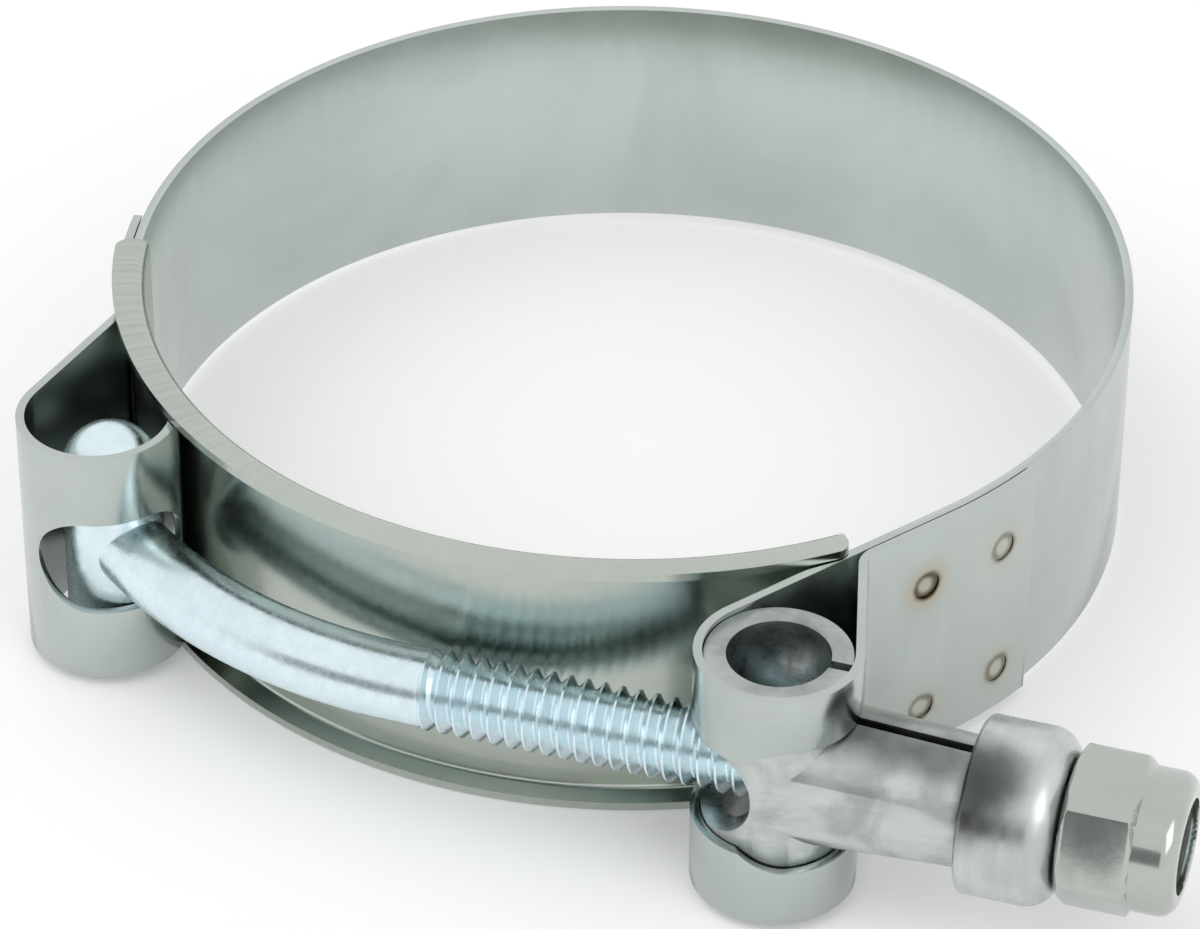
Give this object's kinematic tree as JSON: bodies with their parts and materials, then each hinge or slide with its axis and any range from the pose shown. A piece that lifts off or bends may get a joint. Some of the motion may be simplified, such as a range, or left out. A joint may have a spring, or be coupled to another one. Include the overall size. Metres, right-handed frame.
{
  "type": "t-bolt hose clamp",
  "caption": "Round strip-steel hose clamp with an inner bridge, looped ends, a curved T-bolt, a rolled trunnion, a collar and a lock nut.",
  "frame": {"origin": "centre of the hose bore at mid-width of the band", "axes": "+Z along the hose axis, +X along the straight part of the bolt towards the nut"},
  "size_m": [0.0926, 0.0862, 0.0216],
  "materials": {
    "band_steel": "satin rolled strip",
    "bridge_steel": "polished strip",
    "bolt_zinc": "bright zinc plate",
    "trunnion_steel": "dull rolled sheet",
    "collar_steel": "satin turned",
    "nut_zinc": "bright plate",
    "insert_nylon": "matt nylon"
  },
  "bodies": {
    "band": {"band": "band_steel", "bridge": "bridge_steel"},
    "t_bolt": {"t_bolt": "bolt_zinc"},
    "trunnion": {"trunnion": "trunnion_steel"},
    "collar": {"collar": "collar_steel"},
    "nut": {"lock_nut": "nut_zinc", "nylon_insert": "insert_nylon"}
  },
  "joints": [
    {"name": "bolt_swing", "type": "hinge", "parent": "band", "child": "t_bolt", "pos_m": [-0.0302, -0.03127, 0], "axis": [0, 0, 1], "range_deg": [-0.3, 0.3]},
    {"name": "trunnion_pivot", "type": "hinge", "parent": "band", "child": "trunnion", "pos_m": [0.02412, -0.04145, 0], "axis": [0, 0, 1], "range_deg": [-0.3, 0.3]},
    {"name": "collar_slide", "type": "slide", "parent": "t_bolt", "child": "collar", "axis": [1, 0, 0], "range_m": [0, 0.00325]},
    {"name": "nut_turn", "type": "hinge", "parent": "collar", "child": "nut", "pos_m": [0.04912, -0.04145, 0], "axis": [1, 0, 0], "range_deg": [0, 900]}
  ],
  "couplings": [
    {"joint": "nut_turn", "follows": "collar_slide", "rad_per_m": 4833.2}
  ]
}
